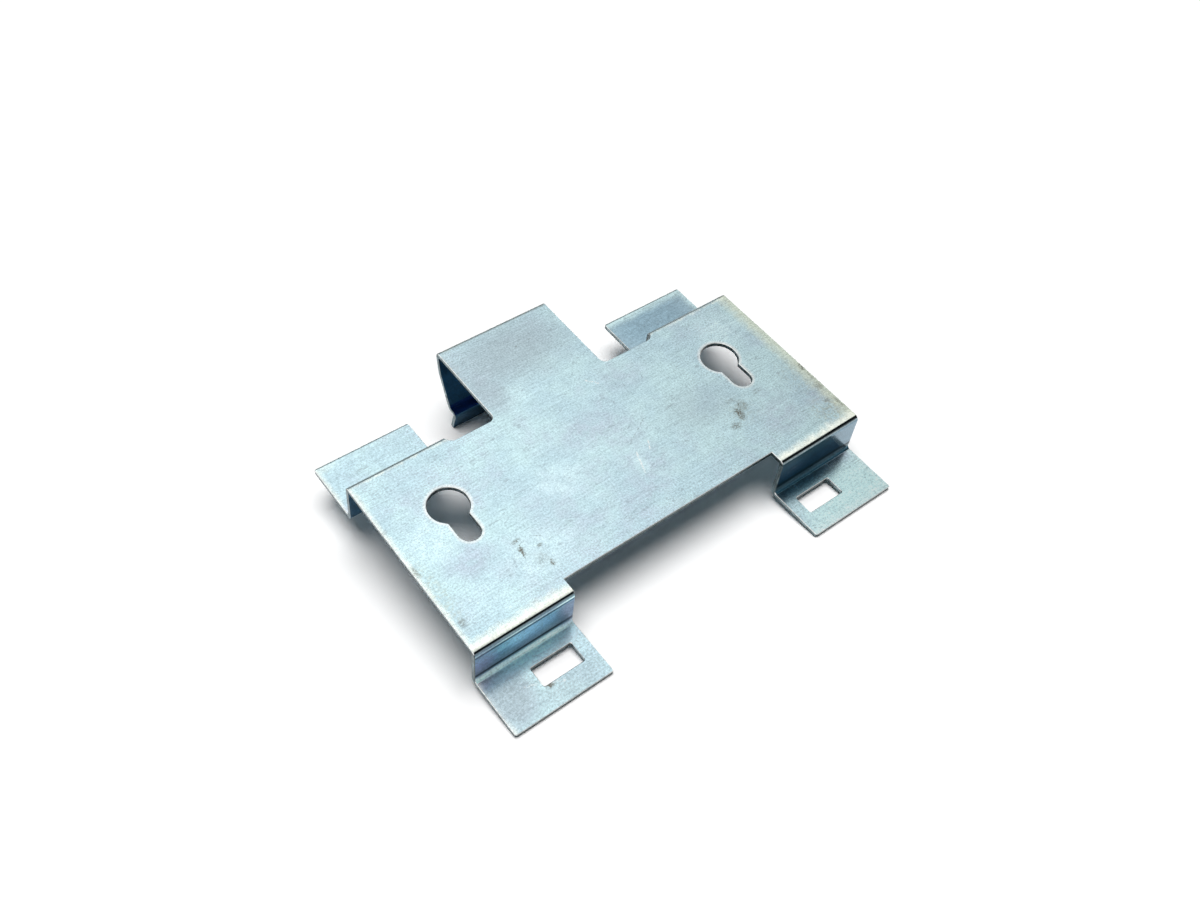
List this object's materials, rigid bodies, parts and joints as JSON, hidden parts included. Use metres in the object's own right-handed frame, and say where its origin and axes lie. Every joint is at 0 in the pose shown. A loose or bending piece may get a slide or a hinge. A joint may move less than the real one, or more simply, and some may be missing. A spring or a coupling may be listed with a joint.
{
  "type": "stamped mounting bracket",
  "caption": "Folded sheet-steel mounting bracket: raised plate with keyholes on joggled feet, slotted in front, and a rear tongue folded into a sprung hook with a detent lip.",
  "frame": {"origin": "midway between the round ends of the keyholes, on the plate's outer face", "axes": "+X along the plate and through the keyholes, +Y towards the hook, +Z out of the plate's outer face"},
  "size_m": [0.1, 0.0788, 0.0194],
  "materials": {
    "zinc_plate": "bright zinc plate with a faint blue passivation"
  },
  "bodies": {
    "root": {"bracket": "zinc_plate"}
  },
  "joints": []
}
